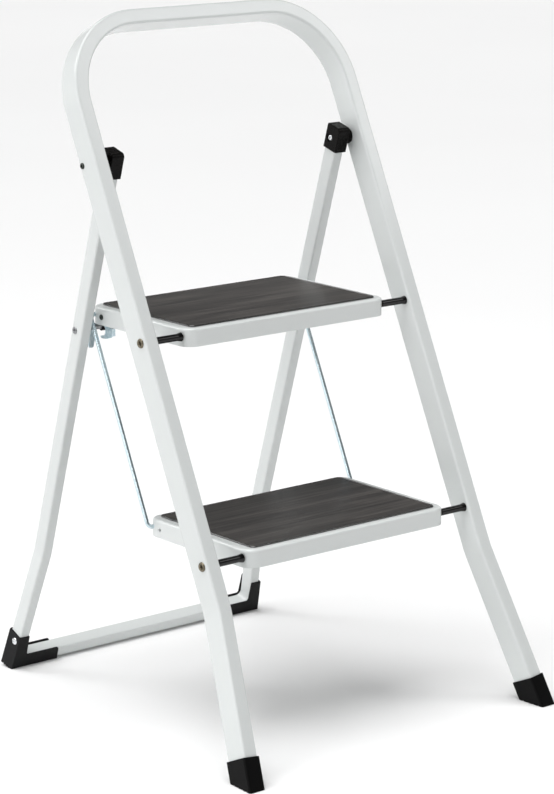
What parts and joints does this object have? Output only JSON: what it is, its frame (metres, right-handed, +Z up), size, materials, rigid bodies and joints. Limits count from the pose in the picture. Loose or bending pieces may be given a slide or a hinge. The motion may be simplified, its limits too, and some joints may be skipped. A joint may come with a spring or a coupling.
{
  "type": "folding step stool",
  "caption": "Folding two-step stool in white steel tube with a tall handrail loop, dark non-slip step mats, black plastic feet and a linked fold.",
  "frame": {"origin": "on the floor at the centre of the footprint of the open stool", "axes": "+Z up, +X to the right and +Y away for a person climbing the steps"},
  "size_m": [0.4618, 0.5349, 0.8068],
  "materials": {
    "white_paint": "smooth semi-gloss powder coat",
    "step_mat": "matt with fine streaks",
    "foot_plastic": "moulded matt",
    "black_plastic": "moulded satin",
    "rivet_metal": "yellowish zinc, slightly dull",
    "bright_screw": "bright zinc",
    "zinc_plate": "blue-white zinc"
  },
  "bodies": {
    "front_frame": {"front_frame_tube": "white_paint", "front_foot_left": "foot_plastic", "front_foot_right": "foot_plastic", "upper_step_axle": "rivet_metal", "lower_step_axle": "rivet_metal", "upper_axle_sleeve_left": "black_plastic", "upper_axle_sleeve_right": "black_plastic", "lower_axle_sleeve_left": "black_plastic", "lower_axle_sleeve_right": "black_plastic", "hinge_bolt_left": "bright_screw", "hinge_bolt_right": "bright_screw", "hinge_spacer_left": "black_plastic", "hinge_spacer_right": "black_plastic"},
    "rear_frame": {"rear_frame_tube": "white_paint", "rear_foot_left": "foot_plastic", "rear_foot_right": "foot_plastic", "rear_foot_screws": "bright_screw", "hinge_cap_left": "black_plastic", "hinge_cap_right": "black_plastic", "rear_cross_rod": "zinc_plate", "cross_rod_sleeve": "black_plastic", "catch_keeper_plate": "zinc_plate"},
    "upper_step": {"upper_step_tray": "white_paint", "upper_step_mat": "step_mat", "catch_rivet": "zinc_plate"},
    "lower_step": {"lower_step_tray": "white_paint", "lower_step_mat": "step_mat"},
    "link_left": {"link_rod_left": "zinc_plate", "link_rod_clips_left": "zinc_plate"},
    "link_right": {"link_rod_right": "zinc_plate", "link_rod_clips_right": "zinc_plate"},
    "catch": {"catch_lever": "zinc_plate"}
  },
  "joints": [
    {"name": "rear_frame_fold", "type": "hinge", "parent": "front_frame", "child": "rear_frame", "pos_m": [0, 0.06263, 0.64184], "axis": [-1, 0, 0], "range_deg": [0, 37.5]},
    {"name": "upper_step_fold", "type": "hinge", "parent": "front_frame", "child": "upper_step", "pos_m": [0, -0.04285, 0.45611], "axis": [1, 0, 0], "range_deg": [0, 62]},
    {"name": "lower_step_fold", "type": "hinge", "parent": "front_frame", "child": "lower_step", "pos_m": [0, -0.15137, 0.22337], "axis": [1, 0, 0], "range_deg": [0, 62]},
    {"name": "link_left_turn", "type": "hinge", "parent": "upper_step", "child": "link_left", "pos_m": [0, 0.12245, 0.45611], "axis": [-1, 0, 0], "range_deg": [0, 62]},
    {"name": "link_right_turn", "type": "hinge", "parent": "upper_step", "child": "link_right", "pos_m": [0, 0.12245, 0.45611], "axis": [-1, 0, 0], "range_deg": [0, 62]},
    {"name": "catch_release", "type": "hinge", "parent": "upper_step", "child": "catch", "pos_m": [0, 0.10885, 0.45461], "axis": [-1, 0, 0], "range_deg": [0, 25]}
  ],
  "couplings": [
    {"joint": "upper_step_fold", "follows": "rear_frame_fold", "ratio": 1.65},
    {"joint": "lower_step_fold", "follows": "rear_frame_fold", "ratio": 1.65},
    {"joint": "link_left_turn", "follows": "rear_frame_fold", "ratio": 1.65},
    {"joint": "link_right_turn", "follows": "rear_frame_fold", "ratio": 1.65}
  ]
}
